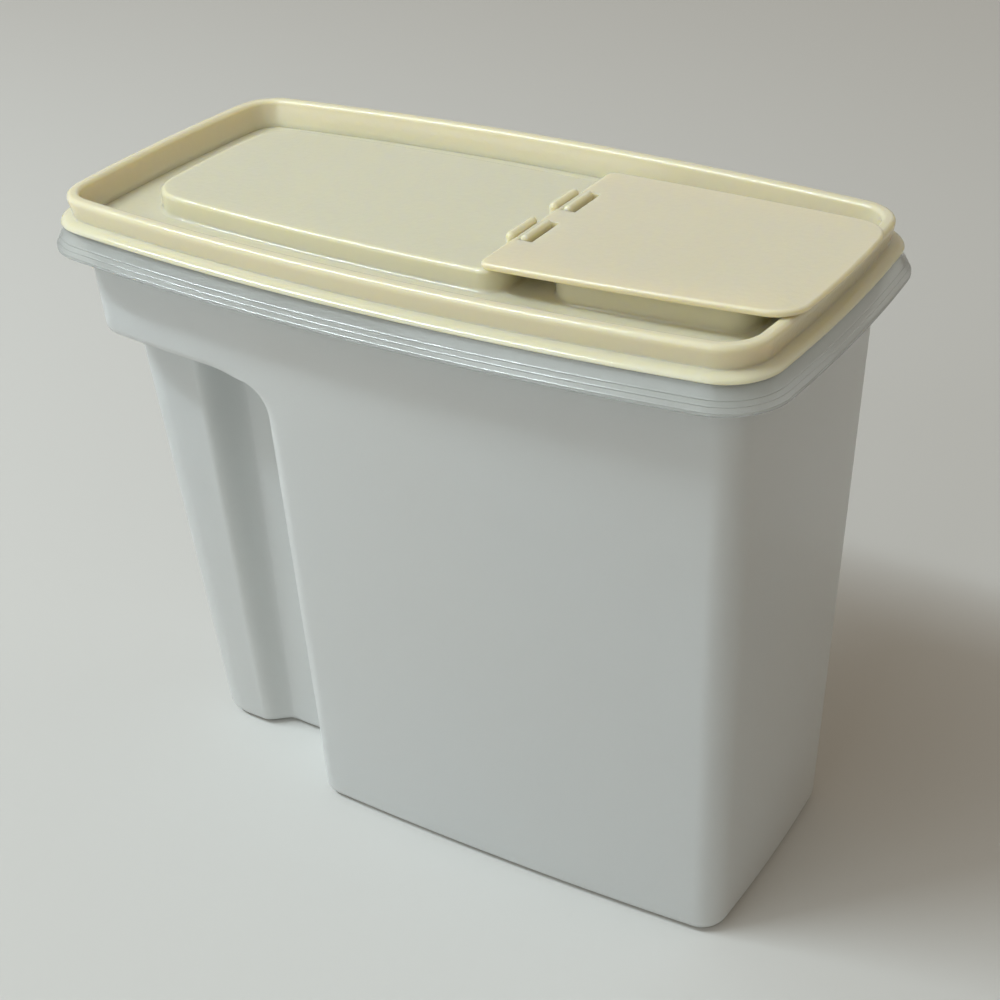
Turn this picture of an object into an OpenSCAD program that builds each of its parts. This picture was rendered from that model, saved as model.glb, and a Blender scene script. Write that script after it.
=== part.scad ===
// Cereal container with a flip spout: a drafted tub with two finger recesses that
// leave a grip post at one end, a snap-over lid with a raised platform and a spout
// collar, and a flip cap that clips into the lid's hinge jaws. Millimetres, +Z up,
// origin under the middle of the base, the spout at the +X end.

/* [Container body] */
// Length of the body at its base
base_len = 201.2; // [190:0.2:210]
// Width of the body at its base
base_wid = 84; // [78:0.2:92]
// Length of the body under the rim flange
top_len = 215.2; // [208:0.2:226]
// Width of the body under the rim flange
top_wid = 102.6; // [96:0.2:112]
// Height of the body, up to the lower edge of the rim flange
body_h = 182; // [172:1:200]
// Bow of the long sides at the base
base_bow_long = 4; // [2:0.5:6]
// Bow of the long sides under the flange
top_bow_long = 7; // [4:0.5:9]
// Bow of the ends at the base
base_bow_end = 1.6; // [1:0.2:3]
// Bow of the ends under the flange
top_bow_end = 2.6; // [1:0.2:4]
// Corner radius at the base
base_corner_r = 8.3; // [8:0.1:14]
// Corner radius under the flange
top_corner_r = 9.4; // [8:0.1:16]
// Wall thickness
wall = 1.6; // [1.2:0.1:2]
// Rounding between base and walls
foot_r = 4; // [3:0.5:5]
// Width of the foot band that the container stands on
foot_band = 3; // [2:0.5:3]
// Height of the raised middle of the base
base_rise = 0.8; // [0.4:0.1:1.5]

/* [Finger recesses and grip] */
// Height of the recess ceilings
recess_h = 153.5; // [140:0.5:160]
// Distance of the recess walls from the middle of the container
recess_x = 40.8; // [34:0.2:44]
// Radius between recess wall and ceiling
recess_top_r = 11; // [6:0.5:14]
// Radius of the vertical edge between recess wall and long side
recess_edge_r = 6; // [3:0.5:8]
// Radius between grip neck and recess wall
neck_fillet_r = 8; // [4:0.5:9]
// Radius under the ceiling round the grip
ceiling_r = 4; // [2:0.5:5]
// Rounding of the band's lower edge over the recesses
band_r = 3.5; // [2.5:0.5:5]
// Width of the grip bulge at the base
bulge_wid = 45.6; // [42:0.2:50]
// Width of the grip bulge under the ceiling
bulge_top_wid = 66.4; // [60:0.2:70]
// Corner radius of the grip bulge
bulge_r = 13; // [8:0.5:15]
// Width of the grip neck at the base
neck_wid = 34.8; // [30:0.2:38]
// Width of the grip neck under the ceiling
neck_top_wid = 42; // [38:0.2:48]
// Distance of the bulge's crest from the middle of the container
crest_x = 80; // [78:0.5:83]
// Distance of the neck's start from the middle of the container
neck_x = 70; // [68.5:0.5:73]

/* [Rim and flange] */
// Reach of the flange past the body wall at its lower edge
flange_out = 8.9; // [7:0.1:10]
// Reach of the flange past the body wall at its top
flange_top_out = 5.9; // [5:0.1:6.8]
// Height of the flange
flange_h = 7; // [6:0.25:9]
// Height of each fine ridge on the flange
ridge = 0.3; // [0.1:0.05:0.5]
// Height of the upright rim above the flange
rim_h = 1.7; // [1.2:0.05:2]
// Running gap between the lid and the rim
rim_gap = 0.35; // [0.3:0.05:0.5]

/* [Lid] */
// Height of the lid's lip above the flange
lip_h = 9.05; // [8.5:0.05:11]
// Width of the lip
lip_wid = 3.84; // [3.6:0.02:4.2]
// Depth of the groove under the lip
lip_groove = 1; // [0.6:0.1:1.1]
// Swell of the lid's bead past the lip
bead_out = 2.8; // [2:0.1:3.4]
// Height of the lid's floor above the flange
floor_rise = 0.7; // [0.4:0.05:1]
// Thickness of the lid's walls
lid_wall = 1.6; // [1.2:0.1:2]
// Thickness of the lid's plug wall inside the rim
plug_wall = 1.4; // [1.2:0.1:1.8]
// Depth of the plug wall below the lid's floor
plug_drop = 3; // [2:0.5:3.5]
// Depth of the platform's top below the lip
platform_drop = 2; // [1.8:0.1:3]
// Width of the gutter between body line and platform at the grip end
gutter_end = 16; // [13:0.2:19]
// Width of the gutter between body line and platform along the sides
gutter_side = 17.3; // [14:0.1:20]
// Bow of the platform's long sides
platform_bow_long = 4.6; // [2:0.2:7]
// Bow of the platform's grip end
platform_bow_end = 1.6; // [0.8:0.1:3]
// Corner radius of the platform's grip end
platform_corner_r = 12.9; // [8:0.1:16]
// How far the platform reaches past the hinge axis
platform_past = 4.9; // [4.6:0.1:6]
// Corner radius of the platform's hinge end
platform_r = 8; // [4:0.5:10]
// Rounding of the platform's top edge
platform_edge_r = 1.4; // [0.8:0.1:1.8]
// Fillet at the platform's foot
platform_foot_r = 1.2; // [0.5:0.1:1.5]

/* [Spout] */
// Distance of the spout's inner end from the middle of the container
spout_x = 42.8; // [40:0.2:46]
// Length of the spout collar
spout_len = 55.6; // [48:0.2:58]
// Distance of the spout collar's sides inside the body line
spout_side = 19.7; // [18:0.1:24]
// Corner radius of the spout collar
spout_r = 9; // [6:0.5:12]
// Gap between the collar's top and the cap, at the inner end
collar_gap = 0.4; // [0.3:0.1:1.2]
// Thickness of the spout collar
collar_wall = 1.8; // [1.4:0.1:2.4]
// Fillet at the collar's foot
collar_foot_r = 1; // [0.5:0.1:1.5]

/* [Flip cap] */
// Thickness of the cap plate
cap_t = 2; // [1.8:0.1:2.2]
// Slope of the closed cap, which rises from the hinge to the lip at the spout end
cap_tilt = 1; // [0.8:0.1:1.2]
// Overhang of the cap past the lip at the spout end
cap_over = 2; // [1:0.1:3.5]
// Width of the cap
cap_wid = 71.2; // [68:0.2:76]
// Bow of the cap's long sides
cap_bow_long = 5.6; // [3:0.2:7]
// Bow of the cap's spout end
cap_bow_end = 1.8; // [1:0.1:3]
// Corner radius of the cap at the spout end
cap_r = 10; // [8:0.1:16]
// Corner radius of the cap at the hinge end
cap_hinge_r = 3; // [2:0.5:5]
// Rounding of the cap's edges
cap_edge_r = 0.8; // [0.5:0.1:0.8]
// Gap between the cap and the lip
cap_gap = 0.3; // [0.3:0.05:0.5]
// Depth of the cap's plug ring
ring_drop = 4.2; // [3:0.1:4.6]
// Thickness of the cap's plug ring
ring_wall = 1.3; // [1:0.1:1.8]
// Gap between the plug ring and the collar
ring_gap = 0.45; // [0.4:0.05:0.7]

/* [Hinge] */
// Distance of the hinge axis from the middle of the container
hinge_x = 27.6; // [27:0.2:28]
// Gap between hinge bar and jaws
hinge_gap = 0.1; // [0.05:0.01:0.12]
// Length of each jaw along the hinge
jaw_len = 13.4; // [10:0.1:15]
// Distance of each jaw's middle from the middle of the lid
jaw_y = 11.2; // [9:0.1:14]
// Thickness of each jaw
jaw_t = 2.6; // [2:0.1:2.8]
// Height of the jaws above the hinge axis
jaw_rise = 2.05; // [1.6:0.05:2.2]
// How far the jaws' tips close in over the bar
jaw_snap = 0.15; // [0.1:0.05:0.3]
// Clearance round the jaws in the cap's windows
window_gap = 0.4; // [0.3:0.1:0.8]
// Reach of the windows past the jaws
window_reach = 1.8; // [1:0.1:3]

/* [Hidden] */

$fn = 48;

// Segments along the parts of the outlines
end_seg = 2;      // half an end
corner_seg = 6;   // a corner
side_seg = 6;     // a long side beside the recess
crest_seg = 6;    // from crest to neck
fillet_seg = 4;   // recess fillets
quarter_seg = 5;  // half a long side of the lid

eps = 0.15;       // half the rise of the recess ceilings, which keeps their rings apart
min_r = 0.5;      // smallest radius that an offset leaves at a corner
past = 1;         // overshoot of cuts

ledge_z = body_h + flange_h;
rim_z = ledge_z + rim_h;
rim_in = rim_gap;             // offsets from the body's outline under the flange
rim_out = rim_in + wall;
lip_z = ledge_z + lip_h;
floor_z = ledge_z + floor_rise;
platform_z = lip_z - platform_drop;
bar_r = cap_t/2;
jaw_in = bar_r + hinge_gap;
lug_x = jaw_in - jaw_snap + jaw_t/2;
spout_end = spout_x + spout_len;

// The hinge axis lies in the middle of the cap plate, which rests cap_gap over the
// lip's inner edge at the spout end
hinge_z = lip_z + cap_gap + cap_t/2 - (top_len/2 - hinge_x)*tan(cap_tilt);
collar_z = hinge_z + (spout_x - hinge_x)*tan(cap_tilt) - cap_t/2 - collar_gap;
platform_x = hinge_x + platform_past;

function lerp(a, b, k) = a + (b - a)*k;

// ---- outlines -------------------------------------------------------------

// A rectangle with half length a and half width b whose long sides bow by sl, whose
// ends bow by se, and whose corners have the radius r, all tangent. Gives the radii
// of side, end and corner, and the centres of side (y), end (x) and corner.
function bowed(a, b, sl, se, r) =
    let (rl = (a*a + sl*sl)/(2*sl),
         re = (b*b + se*se)/(2*se),
         cy = b - rl,
         cx = a - re,
         d = norm([cx, cy]),
         u = [cx, -cy]/d,
         along = (pow(rl - r, 2) - pow(re - r, 2) + d*d)/(2*d),
         h = sqrt(pow(rl - r, 2) - along*along))
    [rl, re, r, cy, cx, [0, cy] + along*u + h*[u.y, -u.x]];

// Angles at which the corner of an outline meets its end and its side
function end_angle(o) = atan2(o[5].y, o[5].x - o[4]);
function side_angle(o) = atan2(o[5].y - o[3], o[5].x);

function arc(c, r, a0, a1, n, from = 0) =
    [for (i = [from:n]) let (t = lerp(a0, a1, i/n)) c + r*[cos(t), sin(t)]];

// Half width of an outline, moved out by e, at the place x
function half_wid(o, e, x) = o[3] + sqrt(pow(o[0] + e, 2) - x*x);

function flip_x(pts) = [for (i = [len(pts) - 1:-1:0]) [-pts[i].x, pts[i].y]];
function flip_y(pts) = [for (i = [len(pts) - 1:-1:0]) [pts[i].x, -pts[i].y]];
function inner_of(pts) = [for (i = [1:len(pts) - 2]) pts[i]];

// Whole outline, moved out by e, anticlockwise
function outline(o, e) =
    let (quarter = concat(arc([o[4], 0], o[1] + e, 0, end_angle(o), end_seg),
                          arc(o[5], o[2] + e, end_angle(o), side_angle(o), corner_seg, 1),
                          arc([0, o[3]], o[0] + e, side_angle(o), 90, quarter_seg, 1)),
         half = concat(quarter, [for (p = flip_x(quarter)) if (p.x < -0.001) p]))
    concat(half, inner_of(flip_y(half)));

// Slot of width w and length len along the hinge, moved in by d
function slot(w, len, d) =
    let (r = w/2 - d, run = len/2 - w/2)
    concat(arc([0, run], r, 0, 180, corner_seg), arc([0, -run], r, 180, 360, corner_seg));

// ---- lofts ----------------------------------------------------------------

// Closed solid through a list of rings with equal numbers of points; when it is not
// capped, the last ring joins the first
module loft(rings, capped = true) {
    n = len(rings[0]);
    m = len(rings);
    points = [for (ring = rings) each ring];
    last = capped ? m - 2 : m - 1;
    sides = [for (j = [0:last]) for (i = [0:n - 1])
        let (k = (i + 1) % n, up = (j + 1) % m)
        each [[j*n + i, up*n + i, up*n + k], [j*n + i, up*n + k, j*n + k]]];
    caps = capped ? [[for (i = [0:n - 1]) i], [for (i = [n - 1:-1:0]) (m - 1)*n + i]] : [];
    polyhedron(points = points, faces = concat(sides, caps), convexity = 6);
}

function at_z(pts, z) = [for (p = pts) [p.x, p.y, z]];

// ---- container ------------------------------------------------------------

function body_outline(z) =
    let (k = min(z, body_h)/body_h)
    bowed(lerp(base_len, top_len, k)/2, lerp(base_wid, top_wid, k)/2,
          lerp(base_bow_long, top_bow_long, k), lerp(base_bow_end, top_bow_end, k),
          lerp(base_corner_r, top_corner_r, k));

// How far a fillet of radius r that ends at the ceiling has come in at height z, on a
// surface that lies d inside the outer one
function fillet_at(z, d, r) =
    let (h = min(max(z - (recess_h - r), 0), r + d))
    r + d - sqrt(max(pow(r + d, 2) - h*h, 0));

// Recess wall and the start of the long side beside it, at height z
function wall_x(z, d) = d - recess_x - fillet_at(z, d, recess_top_r);
function edge_r(d) = max(recess_edge_r - d, min_r);
function side_x(z, d) = wall_x(z, d) + edge_r(d);

// The half of the outline in front of the middle, from the grip end to the spout end,
// in three stretches: grip, beside the recess, and round the spout end
grip_seg = corner_seg + crest_seg + 2*fillet_seg + 3;

function spout_half(z, d, o) =
    let (inside = max(d, 0),
         start = acos(-side_x(z, inside)/(o[0] - d)))
    [for (p = concat(
        arc([0, o[3]], o[0] - d, start, 180 - side_angle(o), side_seg),
        arc([-o[5].x, o[5].y], o[2] - d, 180 - side_angle(o), 180 - end_angle(o), corner_seg, 1),
        arc([-o[4], 0], o[1] - d, 180 - end_angle(o), 180, end_seg, 1))) [-p.x, -p.y]];

// Grip end without the recess; the band's lower edge is drawn in by round there
function plain_half(z, d, round, o) =
    let (start = side_angle(o),
         end = acos(-side_x(z, max(d, 0))/(o[0] - d)),
         m = grip_seg - corner_seg)
    [for (i = [0:end_seg + corner_seg + m - 1])
        let (k = i - end_seg,
             s = k - corner_seg,
             fade_in = min(max(k/corner_seg, 0), 1),
             fade_out = min(max((m - s)/(fillet_seg + 1), 0), 1),
             e = -d - round*fade_in*fade_out,
             t = k <= 0 ? end_angle(o)*i/end_seg
                : s <= 0 ? lerp(end_angle(o), start, k/corner_seg)
                : lerp(start, end, s/m),
             c = k <= 0 ? [o[4], 0] : s <= 0 ? o[5] : [0, o[3]],
             r = k <= 0 ? o[1] : s <= 0 ? o[2] : o[0],
             p = c + (r + e)*[cos(t), sin(t)])
        -p];

// Grip end with the bulge, the neck and the recess
function recess_half(z, d, o) =
    let (k = min(z, recess_h)/recess_h,
         flare = fillet_at(z, d, ceiling_r),
         w = lerp(bulge_wid, bulge_top_wid, k)/2 - d + flare,
         n = lerp(neck_wid, neck_top_wid, k)/2 - d + flare,
         slope = atan2(PI/2*(w - n), crest_x - neck_x),
         shift = flare - d*(1 - cos(slope))/sin(slope),
         xc = -crest_x + shift,
         xn = -neck_x + shift,
         r = max(bulge_r - d, 2*min_r),
         ye = w - r,
         xe = o[4] + sqrt(pow(o[1] - d, 2) - ye*ye),
         xw = wall_x(z, d),
         rf = neck_fillet_r + d,
         re = edge_r(d),
         yl = half_wid(o, -d, xw + re))
    concat([for (i = [0:end_seg - 1])
                let (y = ye*i/end_seg) [-o[4] - sqrt(pow(o[1] - d, 2) - y*y), -y]],
           arc([r - xe, r - w], r, 180, 270, corner_seg),
           [for (i = [0:crest_seg])
                let (s = i/crest_seg) [lerp(xc, xn, s), -n - (w - n)*(1 + cos(180*s))/2]],
           arc([xw - rf, -n - rf], rf, 90, 0, fillet_seg),
           inner_of(concat([[0, 0]], arc([xw + re, re - yl], re, 180, 270, fillet_seg))));

// One level of the container: height, offset inwards, whether it passes over the
// recesses, and how far the band's lower edge is drawn in
function ring(z, d, over = false, round = 0) =
    let (o = body_outline(z),
         grip = over ? plain_half(z, d, round, o) : recess_half(z, d, o),
         front = concat(grip, spout_half(z, d, o)))
    at_z(concat(front, inner_of(flip_y(front))), z);

// The wall from the base to the ceilings and over the recesses, on the surface that
// lies d inside the outer one
function skin(d) = concat(
    [for (i = [0:fillet_seg]) let (t = 90*i/fillet_seg, r = foot_r - d)
        ring(foot_r - r*cos(t), foot_r - r*sin(t))],
    [for (i = [1:2]) ring(lerp(foot_r, recess_h - recess_top_r, i/2), d)],
    [for (i = [1:fillet_seg]) let (t = 90*i/fillet_seg)
        ring(recess_h - recess_top_r + (recess_top_r + d)*sin(t) - (i == fillet_seg ? eps : 0), d)],
    [ring(recess_h + d + eps, d, true, band_r - d)],
    [for (i = [1:3]) let (t = 30*i)
        ring(recess_h + band_r - (band_r - d)*cos(t), d, true, (band_r - d)*(1 - sin(t)))]);

// Flange and rim as [offset outwards, height], from the outer wall over the rim to
// the inner wall
step_h = 2.6;           // height over which the wall steps out to the rim
edge_r_rim = 0.3;       // rounding of the rim and flange edges
ridge_pitch = 1.35;     // distance between the flange's ridges
skirt_slope = (flange_out - flange_top_out)/(flange_h - ridge_pitch);
function skirt_at(h) = flange_out - skirt_slope*max(h - ridge_pitch, 0);

function rim_profile() = concat(
    [[0, body_h], [rim_out, body_h + step_h], [rim_out, ledge_z - wall],
     [skirt_at(flange_h) - wall, ledge_z - wall], [flange_out - wall, body_h],
     [flange_out - edge_r_rim, body_h], [flange_out, body_h + edge_r_rim]],
    [for (i = [1:3]) let (h = i*ridge_pitch)
        each [[skirt_at(h), body_h + h - ridge], [skirt_at(h) - ridge, body_h + h]]],
    [[flange_top_out, ledge_z], [rim_out, ledge_z],
     [rim_out, rim_z - edge_r_rim], [rim_out - edge_r_rim, rim_z],
     [rim_in + edge_r_rim, rim_z], [rim_in, rim_z - edge_r_rim],
     [rim_in, body_h + step_h + wall/2], [-wall, body_h + wall/2]]);

function reversed(v) = [for (i = [len(v) - 1:-1:0]) v[i]];

module container() {
    color("#A9AFAE")
        loft(concat(
            [ring(base_rise, foot_r + foot_band + base_rise), ring(0, foot_r + foot_band)],
            skin(0),
            [for (p = rim_profile()) ring(p.y, -p.x, true)],
            reversed(skin(wall)),
            [ring(wall, foot_r + foot_band), ring(wall + base_rise, foot_r + foot_band + base_rise)]));
}

// ---- lid ------------------------------------------------------------------

lid_outline = body_outline(body_h);
seat_gap = 0.3;               // height of the lid over the ledge and the rim
skirt_z = ledge_z + seat_gap;
channel_out = rim_out + rim_gap;
channel_z = rim_z + seat_gap;
lip_r = 1.4;
lip_foot = 0.6;               // upright band of the lip under its rounding
lip_dip = 2.8;                // depth of the slope inside the lip
groove_z = ledge_z + 2.45;    // concave corner between lip and bead
chamfer = 0.4;                // small chamfers of channel and collar
plug_r = 0.5;                 // rounding under the plug wall

// Section of the lid's rim as [offset outwards, height]: plug wall, lip, groove, bead
// and the channel that the container's rim stands in
plug_z = floor_z - lid_wall - plug_drop;
function lid_profile() = [
    [-plug_wall, plug_z + plug_r], [-plug_wall, channel_z + lip_foot], [-seat_gap, lip_z - lip_dip],
    [0, lip_z - lip_r], [lip_r*0.3, lip_z - lip_r*0.3], [lip_r, lip_z],
    [lip_wid - lip_r, lip_z], [lip_wid - lip_r*0.3, lip_z - lip_r*0.3],
    [lip_wid, lip_z - lip_r], [lip_wid - 0.05, lip_z - lip_r - lip_foot],
    [lip_wid - lip_groove, groove_z + 0.3], [lip_wid - lip_groove + 0.3, groove_z],
    [lip_wid + bead_out*0.2, groove_z - 0.15], [lip_wid + bead_out*0.6, groove_z - 0.5],
    [lip_wid + bead_out*0.88, groove_z - 1.05], [lip_wid + bead_out, groove_z - 1.65],
    [lip_wid + bead_out*0.9, skirt_z + 0.1], [lip_wid + bead_out*0.75, skirt_z],
    [channel_out, skirt_z], [channel_out, channel_z - chamfer],
    [channel_out - chamfer, channel_z], [chamfer, channel_z], [0, channel_z - chamfer],
    [0, plug_z + plug_r], [-plug_r, plug_z], [plug_r - plug_wall, plug_z]];

module lid_rim() {
    loft([for (p = reversed(lid_profile())) at_z(outline(lid_outline, p.x), p.y)], capped = false);
}

// Part of the outline o on the grip side of x1, moved in by d, with corners of
// radius r at x1
function cut_outline(o, x1, r, d) =
    let (rc = max(r - d, min_r),
         xc = x1 - d - rc,
         yc = half_wid(o, -d, xc) - rc,
         start = acos(xc/(o[0] - d)),
         half = concat(arc([xc, yc], rc, 0, 90, corner_seg),
                       arc([0, o[3]], o[0] - d, start, 180 - side_angle(o), side_seg, 1),
                       arc([-o[5].x, o[5].y], max(o[2] - d, min_r), 180 - side_angle(o),
                           180 - end_angle(o), corner_seg, 1),
                       arc([-o[4], 0], o[1] - d, 180 - end_angle(o), 180, end_seg, 1)))
    concat(half, [for (i = [len(half) - 2:-1:0]) [half[i].x, -half[i].y]]);

platform_shape = bowed(top_len/2 - gutter_end, top_wid/2 - gutter_side,
                       platform_bow_long, platform_bow_end, platform_corner_r);

module platform() {
    o = platform_shape;
    r = platform_edge_r;
    f = platform_foot_r;
    loft(concat(
        [at_z(cut_outline(o, platform_x, platform_r, -f), floor_z - lid_wall/2)],
        [for (i = [0:3]) let (t = 30*i)
            at_z(cut_outline(o, platform_x, platform_r, -f*(1 - sin(t))), floor_z + f*(1 - cos(t)))],
        [for (i = [0:3]) let (t = 30*i)
            at_z(cut_outline(o, platform_x, platform_r, r*(1 - cos(t))), platform_z - r + r*sin(t))]));
}

// Underside of the raised middle, open from below
module tray_hollow() {
    translate([0, 0, floor_z - lid_wall - past])
        linear_extrude(platform_z - floor_z + past)
            polygon(cut_outline(platform_shape, platform_x, platform_r, lid_wall));
}

// Outline of the spout collar, moved in by d: its sides run parallel to the body line
function spout_shape(d) =
    let (o = lid_outline,
         r = spout_r - d,
         reach = o[0] - spout_side - d,
         a1 = acos((spout_end - spout_r)/(reach - r)),
         a0 = acos((spout_x + spout_r)/(reach - r)),
         c = [0, o[3]],
         half = concat(arc(c + (reach - r)*[cos(a1), sin(a1)], r, 0, a1, corner_seg),
                       arc(c, reach, a1, a0, side_seg, 1),
                       arc(c + (reach - r)*[cos(a0), sin(a0)], r, a0, 180, corner_seg, 1)))
    concat(half, flip_y(half));

module collar() {
    f = collar_foot_r;
    loft(concat(
        [at_z(spout_shape(-f), floor_z - lid_wall/2)],
        [for (i = [0:3]) let (t = 30*i)
            at_z(spout_shape(-f*(1 - sin(t))), floor_z + f*(1 - cos(t)))],
        [at_z(spout_shape(0), collar_z - chamfer), at_z(spout_shape(chamfer), collar_z)]));
}

// One pair of hinge jaws round the cap's bar: two round-ended lugs on the platform
module jaws() {
    r = jaw_t/2;
    difference() {
        for (side = [-1, 1])
            translate([side*lug_x, 0, 0])
                loft(concat(
                    [at_z(slot(jaw_t, jaw_len, 0), platform_z - hinge_z - lid_wall/2)],
                    [for (i = [0:3]) let (t = 24*i)
                        at_z(slot(jaw_t, jaw_len, r*(1 - cos(t))), jaw_rise - r*(1 - sin(t)))]));
        rotate([90, 0, 0])
            cylinder(r = jaw_in, h = jaw_len + past, center = true);
    }
}

module lid() {
    color("#C4C2A2") {
        difference() {
            union() {
                translate([0, 0, floor_z - lid_wall])
                    linear_extrude(lid_wall)
                        polygon(outline(lid_outline, -plug_wall/2));
                platform();
                collar();
            }
            tray_hollow();
            translate([0, 0, floor_z - lid_wall - past])
                linear_extrude(collar_z - floor_z + lid_wall + 2*past)
                    polygon(spout_shape(collar_wall));
        }
        for (side = [-1, 1])
            translate([hinge_x, side*jaw_y, hinge_z])
                jaws();
        lid_rim();
    }
}

// ---- flip cap -------------------------------------------------------------

cap_end = top_len/2 + lip_wid + cap_over;
cap_shape = bowed(cap_end, cap_wid/2, cap_bow_long, cap_bow_end, cap_r);

// The cap is drawn level, with the hinge axis in the middle of its thickness
module cap_plate() {
    r = cap_edge_r;
    start = hinge_x - bar_r;
    loft(concat(
        [for (i = [0:3]) let (t = 30*i)
            at_z(flip_x(cut_outline(cap_shape, -start, cap_hinge_r, r*(1 - sin(t)))),
                 -cap_t/2 + r*(1 - cos(t)))],
        [for (i = [0:3]) let (t = 30*i)
            at_z(flip_x(cut_outline(cap_shape, -start, cap_hinge_r, r*(1 - cos(t)))),
                 cap_t/2 - r + r*sin(t))]));
}

module plug_ring() {
    translate([0, 0, -cap_t/2 - ring_drop])
        linear_extrude(ring_drop + cap_t/2)
            difference() {
                polygon(spout_shape(collar_wall + ring_gap));
                polygon(spout_shape(collar_wall + ring_gap + ring_wall));
            }
}

module flip_cap() {
    window_end = lug_x + jaw_t/2 + window_reach;
    window_len = jaw_len + 2*window_gap;
    color("#CEC7A9")
        translate([hinge_x, 0, hinge_z])
            rotate([0, -cap_tilt, 0])
                translate([-hinge_x, 0, 0]) {
                    difference() {
                        cap_plate();
                        for (side = [-1, 1])
                            translate([hinge_x - bar_r - past, side*jaw_y - window_len/2, -cap_t])
                                cube([window_end + bar_r + past, window_len, 2*cap_t]);
                    }
                    for (side = [-1, 1])
                        translate([hinge_x, side*jaw_y, 0])
                            rotate([90, 0, 0])
                                cylinder(r = bar_r, h = window_len + 2*past, center = true);
                    plug_ring();
                }
}

container();
lid();
flip_cap();
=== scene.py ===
import math

import bpy
import numpy as np
from mathutils import Matrix, Vector


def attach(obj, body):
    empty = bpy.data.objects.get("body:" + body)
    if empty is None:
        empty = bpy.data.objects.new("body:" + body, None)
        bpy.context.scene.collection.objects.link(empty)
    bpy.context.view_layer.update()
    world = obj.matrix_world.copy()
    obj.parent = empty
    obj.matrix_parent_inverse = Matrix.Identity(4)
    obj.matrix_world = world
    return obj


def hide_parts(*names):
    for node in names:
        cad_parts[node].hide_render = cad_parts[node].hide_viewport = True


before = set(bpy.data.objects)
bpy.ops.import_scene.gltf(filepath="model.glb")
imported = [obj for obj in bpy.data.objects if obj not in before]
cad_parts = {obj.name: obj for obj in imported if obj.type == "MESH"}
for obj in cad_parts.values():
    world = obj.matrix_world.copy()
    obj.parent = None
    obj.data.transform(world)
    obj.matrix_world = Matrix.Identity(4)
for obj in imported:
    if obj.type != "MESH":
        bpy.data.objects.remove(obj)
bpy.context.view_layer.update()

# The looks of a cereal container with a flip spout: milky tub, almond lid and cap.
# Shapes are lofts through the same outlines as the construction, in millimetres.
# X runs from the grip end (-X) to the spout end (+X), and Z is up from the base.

MM = 0.001                   # one millimetre in metres

# ---- sizes of the tub, in millimetres --------------------------------------

BASE = dict(length=201.2, width=84.0, side_bow=4.0, end_bow=1.6, corner=8.3)
TOP = dict(length=215.2, width=102.6, side_bow=7.0, end_bow=2.6, corner=9.4)
BODY_H = 182.0               # up to the foot of the flange
WALL = 1.6
FOOT_R = 4.0                 # round edge at the base
FOOT_BAND = 3.0              # the band that the tub stands on
BASE_RISE = 0.8              # of the base inside that band
RECESS_H = 153.5             # ceiling of the finger recesses
RECESS_X = 40.8              # recess wall, from the middle of the tub
RECESS_TOP_R = 11.0          # between recess wall and ceiling
RECESS_EDGE_R = 6.0          # between recess wall and the side of the tub
NECK_FILLET_R = 8.0          # between recess wall and grip post
CEILING_R = 4.0              # between grip post and ceiling
BAND_R = 3.5                 # lower edge of the band over the recesses
BULGE_W = (22.8, 33.2)       # half width of the grip post, at the base and under the ceiling
NECK_W = (17.4, 21.0)        # the same for its neck
BULGE_R = 13.0               # corners of the grip post
CREST_X = 80.0               # where the post starts to narrow
NECK_X = 70.0                # where the neck begins
FLANGE_OUT = 8.88            # reach of the flange past the wall, at its foot
FLANGE_TOP_OUT = 5.9         # and at its top
FLANGE_H = 7.0
FLANGE_TOP_R = 0.5
HOLLOW_R = 0.5               # inner corners of the hollow behind the flange
FLANGE_EDGE = 0.35           # round lower edge of the flange
RIDGE = 0.3                  # height of the fine ridges round the flange
RIDGE_PITCH = 1.35
RIDGES = 3
# one ridge from below: how much of its height it stands back, and how far over its own level
RIDGE_SHAPE = ((0.4, -0.55), (0, -0.36), (0, -0.2), (0.7, -0.04), (1, 0.12))
BAND_Z = (160, 170, 178)     # rings of the plain band over the recesses
RIM_H = 1.7                  # upright rim over the flange
RIM_GAP = 0.35               # running gap between rim and lid
RIM_EDGE = 0.4               # eased corners on the top of the rim

# ---- sizes of the lid and the cap -------------------------------------------

LEDGE_Z = BODY_H + FLANGE_H  # top of the flange
RIM_Z = LEDGE_Z + RIM_H
RIM_OUT = RIM_GAP + WALL     # outer face of the rim, past the tub's wall
LIP_Z = LEDGE_Z + 9.05       # top of the lid's lip
LIP_W = 3.84
LIP_R = 1.4                  # round top edges of the lip
LIP_FOOT = 0.6               # from those edges to the groove
LIP_DIP = 2.8                # how far down the lip is thick
BEAD_OUT = 2.8               # reach of the bead past the lip
# the bead's upper side: share of that reach, and height over the groove
BEAD_SHAPE = ((0.2, -0.15), (0.6, -0.5), (0.88, -1.05), (1, -1.65))
GROOVE = 1.0                 # depth of the groove between lip and bead
GROOVE_Z = LEDGE_Z + 2.45    # lower end of the groove
SEAT_GAP = 0.3               # between the lid and the rim and flange under it
CHANNEL_EDGE = 0.4           # chamfer in the channel over the rim
FLOOR_Z = LEDGE_Z + 0.7      # top of the lid's floor
LID_WALL = 1.6
PLUG_WALL = 1.4              # the wall that reaches down inside the tub
PLUG_Z = FLOOR_Z - LID_WALL - 3.0
PLUG_EDGE = 0.5              # chamfer at its foot
HINGE_X = 27.6
PLATFORM_Z = LIP_Z - 2.0
PLATFORM_X = HINGE_X + 4.9   # end of the platform, past the hinge
PLATFORM_R = 8.0             # its corners there
PLATFORM_EDGE = 1.4          # round top edge
PLATFORM_FOOT = 1.2          # fillet to the lid's floor
SPOUT_X = (42.8, 98.4)       # the collar's two ends
SPOUT_SIDE = 19.7            # from the lid's side to the collar
SPOUT_R = 9.0
COLLAR_WALL = 1.8
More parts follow.
